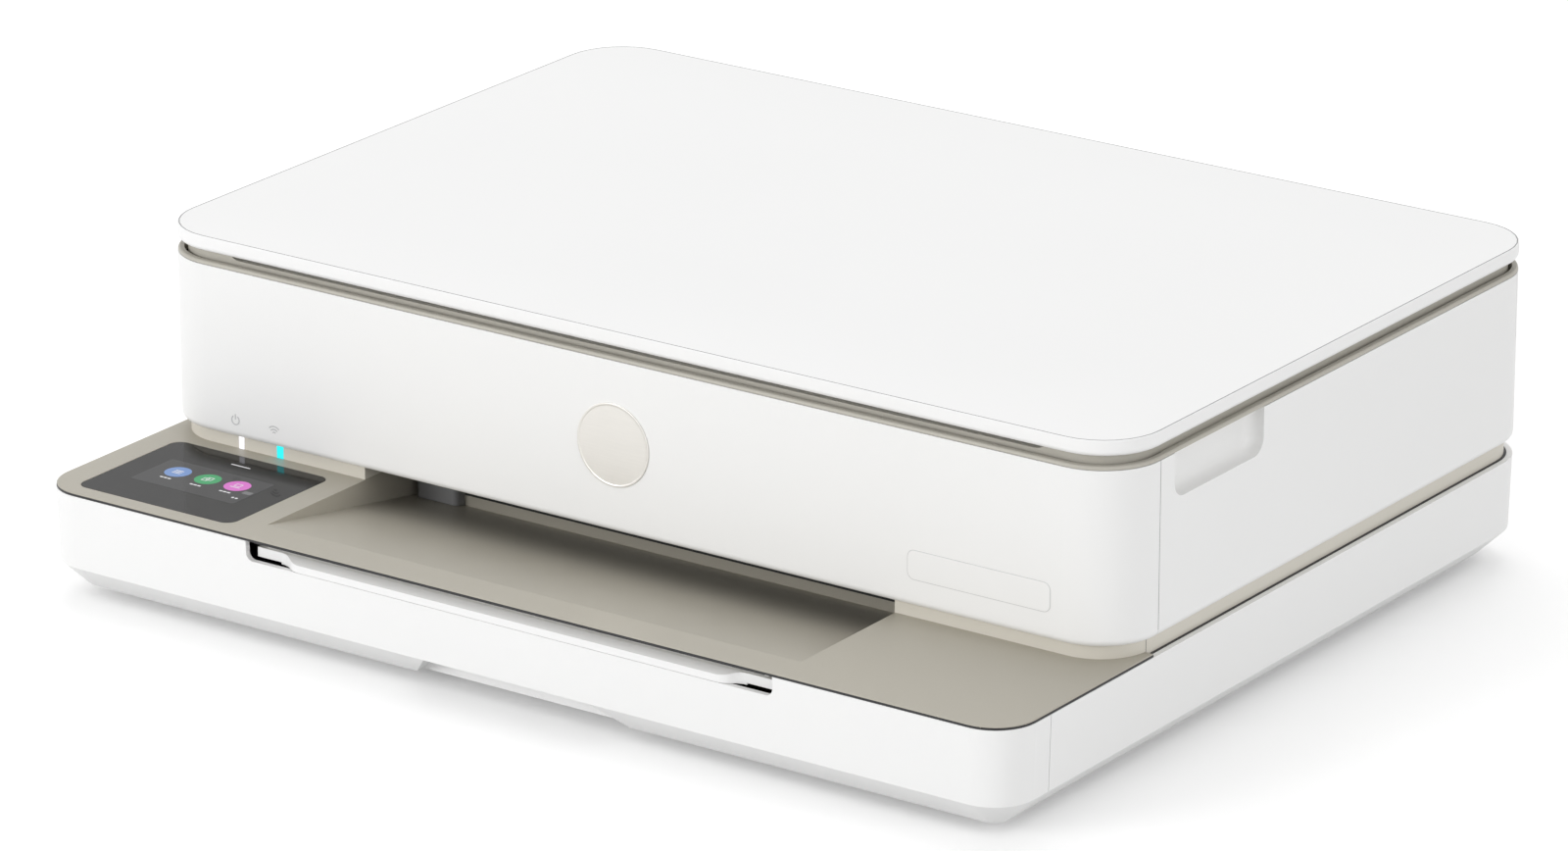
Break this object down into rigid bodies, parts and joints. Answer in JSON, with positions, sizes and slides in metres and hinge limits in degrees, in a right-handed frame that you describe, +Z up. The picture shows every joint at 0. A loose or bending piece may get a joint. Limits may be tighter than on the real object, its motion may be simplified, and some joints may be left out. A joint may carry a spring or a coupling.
{
  "type": "inkjet printer",
  "caption": "Low all-in-one inkjet printer with a lifting flatbed scanner, hinged lid, pull-out paper tray, open output bay with sliding extender and a flush touch display.",
  "frame": {"origin": "on the ground under the middle of the printer", "axes": "+X to the printer's right seen from the front, +Y to the back, +Z up"},
  "size_m": [0.433, 0.36, 0.1288],
  "materials": {
    "white_shell": "fine matt white moulding",
    "beige_deck": "fine matt warm beige moulding",
    "taupe_frame": "matt taupe moulding",
    "dark_plastic": "dark moulded plastic",
    "grey_plastic": "mid grey moulded plastic",
    "black_plastic": "black moulded plastic",
    "steel": "bright rolled steel",
    "brass": "turned brass",
    "rubber": "matt rubber",
    "board": "lacquered circuit board",
    "gear_plastic": "natural acetal",
    "white_pad": "white foam with a smooth sheet",
    "touch_glass": "dark glass with a display behind it",
    "light_pipe": "clear light pipe",
    "clear_film": "clear film",
    "clear_glass": "float glass"
  },
  "bodies": {
    "base": {"base_shell": "white_shell", "rubber_feet": "rubber", "output_deck": "beige_deck", "mid_frame": "beige_deck", "front_panel": "white_shell", "side_panel_left": "white_shell", "side_panel_right": "white_shell", "rear_wall": "white_shell", "control_glass": "touch_glass", "display_module": "board", "light_pipes": "light_pipe", "exit_guide_block": "grey_plastic", "chassis_floor": "dark_plastic", "side_frame_left": "steel", "side_frame_right": "steel", "carriage_rail": "steel", "guide_rod": "steel", "timing_belt": "rubber", "carriage_motor": "steel", "encoder_strip": "clear_film", "platen": "dark_plastic", "star_wheel_bar": "dark_plastic", "feed_motor": "steel", "service_station": "grey_plastic", "main_board": "board", "power_supply": "black_plastic", "power_inlet": "black_plastic", "usb_socket": "steel"},
    "carriage_unit": {"carriage": "dark_plastic", "black_cartridge": "black_plastic", "colour_cartridge": "black_plastic"},
    "motor_pulley_body": {"motor_pulley": "brass"},
    "idler_pulley_body": {"idler_pulley": "grey_plastic"},
    "feed_unit": {"feed_roller": "rubber", "feed_gear": "gear_plastic"},
    "idler_rear": {"idler_gear_rear": "gear_plastic"},
    "idler_middle": {"idler_gear_middle": "gear_plastic"},
    "idler_front": {"idler_gear_front": "gear_plastic"},
    "output_unit": {"output_roller": "rubber", "output_gear": "gear_plastic"},
    "pinion": {"motor_pinion": "brass"},
    "pick_lever": {"pick_arm": "dark_plastic"},
    "pick_wheel": {"pick_roller": "rubber"},
    "power_key": {"power_button": "grey_plastic"},
    "wireless_key": {"wireless_button": "grey_plastic"},
    "scanner_unit": {"scanner_frame": "taupe_frame", "scanner_tub": "dark_plastic", "scanner_glass": "clear_glass", "hinge_cover": "white_shell", "access_hinge_pins": "steel"},
    "scan_head": {"scan_bar": "black_plastic"},
    "lid": {"lid_shell": "white_shell", "lid_pad": "white_pad", "lid_hinge_pins": "steel"},
    "tray": {"tray_front": "white_shell", "tray_pan": "dark_plastic"},
    "guide_left": {"width_guide_left": "grey_plastic"},
    "guide_right": {"width_guide_right": "grey_plastic"},
    "guide_wheel": {"guide_pinion": "gear_plastic"},
    "extender": {"output_extender": "white_shell"}
  },
  "joints": [
    {"name": "access_hinge", "type": "hinge", "parent": "base", "child": "scanner_unit", "pos_m": [0, 0.1777, 0.0915], "axis": [-1, 0, 0], "range_deg": [0, 32]},
    {"name": "lid_hinge", "type": "hinge", "parent": "scanner_unit", "child": "lid", "pos_m": [0, 0.178, 0.1205], "axis": [-1, 0, 0], "range_deg": [0, 80]},
    {"name": "scan_travel", "type": "slide", "parent": "scanner_unit", "child": "scan_head", "axis": [1, 0, 0], "range_m": [0, 0.28]},
    {"name": "tray_slide", "type": "slide", "parent": "base", "child": "tray", "axis": [0, -1, 0], "range_m": [0, 0.2]},
    {"name": "guide_left_slide", "type": "slide", "parent": "tray", "child": "guide_left", "axis": [1, 0, 0], "range_m": [0, 0.045]},
    {"name": "guide_right_slide", "type": "slide", "parent": "tray", "child": "guide_right", "axis": [1, 0, 0], "range_m": [-0.045, 0]},
    {"name": "guide_pinion_turn", "type": "hinge", "parent": "tray", "child": "guide_wheel", "pos_m": [0, 0, 0.009], "axis": [0, 0, 1], "range_deg": [-400, 0]},
    {"name": "extender_slide", "type": "slide", "parent": "base", "child": "extender", "axis": [0, -0.9866, 0.1634], "range_m": [0, 0.085]},
    {"name": "carriage_slide", "type": "slide", "parent": "base", "child": "carriage_unit", "axis": [1, 0, 0], "range_m": [-0.272, 0]},
    {"name": "motor_pulley_turn", "type": "hinge", "parent": "base", "child": "motor_pulley_body", "pos_m": [-0.178, 0.039, 0.067], "axis": [0, 0, 1], "range_deg": [-2650, 0]},
    {"name": "idler_pulley_turn", "type": "hinge", "parent": "base", "child": "idler_pulley_body", "pos_m": [0.186, 0.039, 0.067], "axis": [0, 0, 1], "range_deg": [-2650, 0]},
    {"name": "feed_spin", "type": "hinge", "parent": "base", "child": "feed_unit", "pos_m": [0, 0.06, 0.04], "axis": [1, 0, 0], "continuous": true},
    {"name": "idler_rear_spin", "type": "hinge", "parent": "base", "child": "idler_rear", "pos_m": [-0.203, 0.03, 0.04], "axis": [1, 0, 0], "continuous": true},
    {"name": "idler_middle_spin", "type": "hinge", "parent": "base", "child": "idler_middle", "pos_m": [-0.203, 0, 0.04], "axis": [1, 0, 0], "continuous": true},
    {"name": "idler_front_spin", "type": "hinge", "parent": "base", "child": "idler_front", "pos_m": [-0.203, -0.03, 0.04], "axis": [1, 0, 0], "continuous": true},
    {"name": "output_spin", "type": "hinge", "parent": "base", "child": "output_unit", "pos_m": [0, -0.06, 0.04], "axis": [1, 0, 0], "continuous": true},
    {"name": "pinion_spin", "type": "hinge", "parent": "base", "child": "pinion", "pos_m": [-0.203, 0.07505, 0.05672], "axis": [1, 0, 0], "continuous": true},
    {"name": "pick_swing", "type": "hinge", "parent": "base", "child": "pick_lever", "pos_m": [0, 0.112, 0.044], "axis": [1, 0, 0], "range_deg": [-10, 0]},
    {"name": "pick_spin", "type": "hinge", "parent": "pick_lever", "child": "pick_wheel", "pos_m": [0, 0.084, 0.025], "axis": [1, 0, 0], "continuous": true},
    {"name": "power_press", "type": "slide", "parent": "base", "child": "power_key", "axis": [0, -1, 0], "range_m": [0, 0.0015], "stiffness_N_per_m": 500, "springref_m": -0.001},
    {"name": "wireless_press", "type": "slide", "parent": "base", "child": "wireless_key", "axis": [0, -1, 0], "range_m": [0, 0.0015], "stiffness_N_per_m": 500, "springref_m": -0.001}
  ],
  "couplings": [
    {"joint": "guide_right_slide", "follows": "guide_left_slide", "ratio": -1},
    {"joint": "guide_pinion_turn", "follows": "guide_left_slide", "rad_per_m": -153.85},
    {"joint": "motor_pulley_turn", "follows": "carriage_slide", "rad_per_m": 169.49},
    {"joint": "idler_pulley_turn", "follows": "carriage_slide", "rad_per_m": 169.49},
    {"joint": "idler_rear_spin", "follows": "feed_spin", "ratio": -1},
    {"joint": "idler_middle_spin", "follows": "feed_spin", "ratio": 1},
    {"joint": "idler_front_spin", "follows": "feed_spin", "ratio": -1},
    {"joint": "output_spin", "follows": "feed_spin", "ratio": 1},
    {"joint": "pinion_spin", "follows": "feed_spin", "ratio": -2},
    {"joint": "pick_spin", "follows": "feed_spin", "ratio": 0.875}
  ]
}
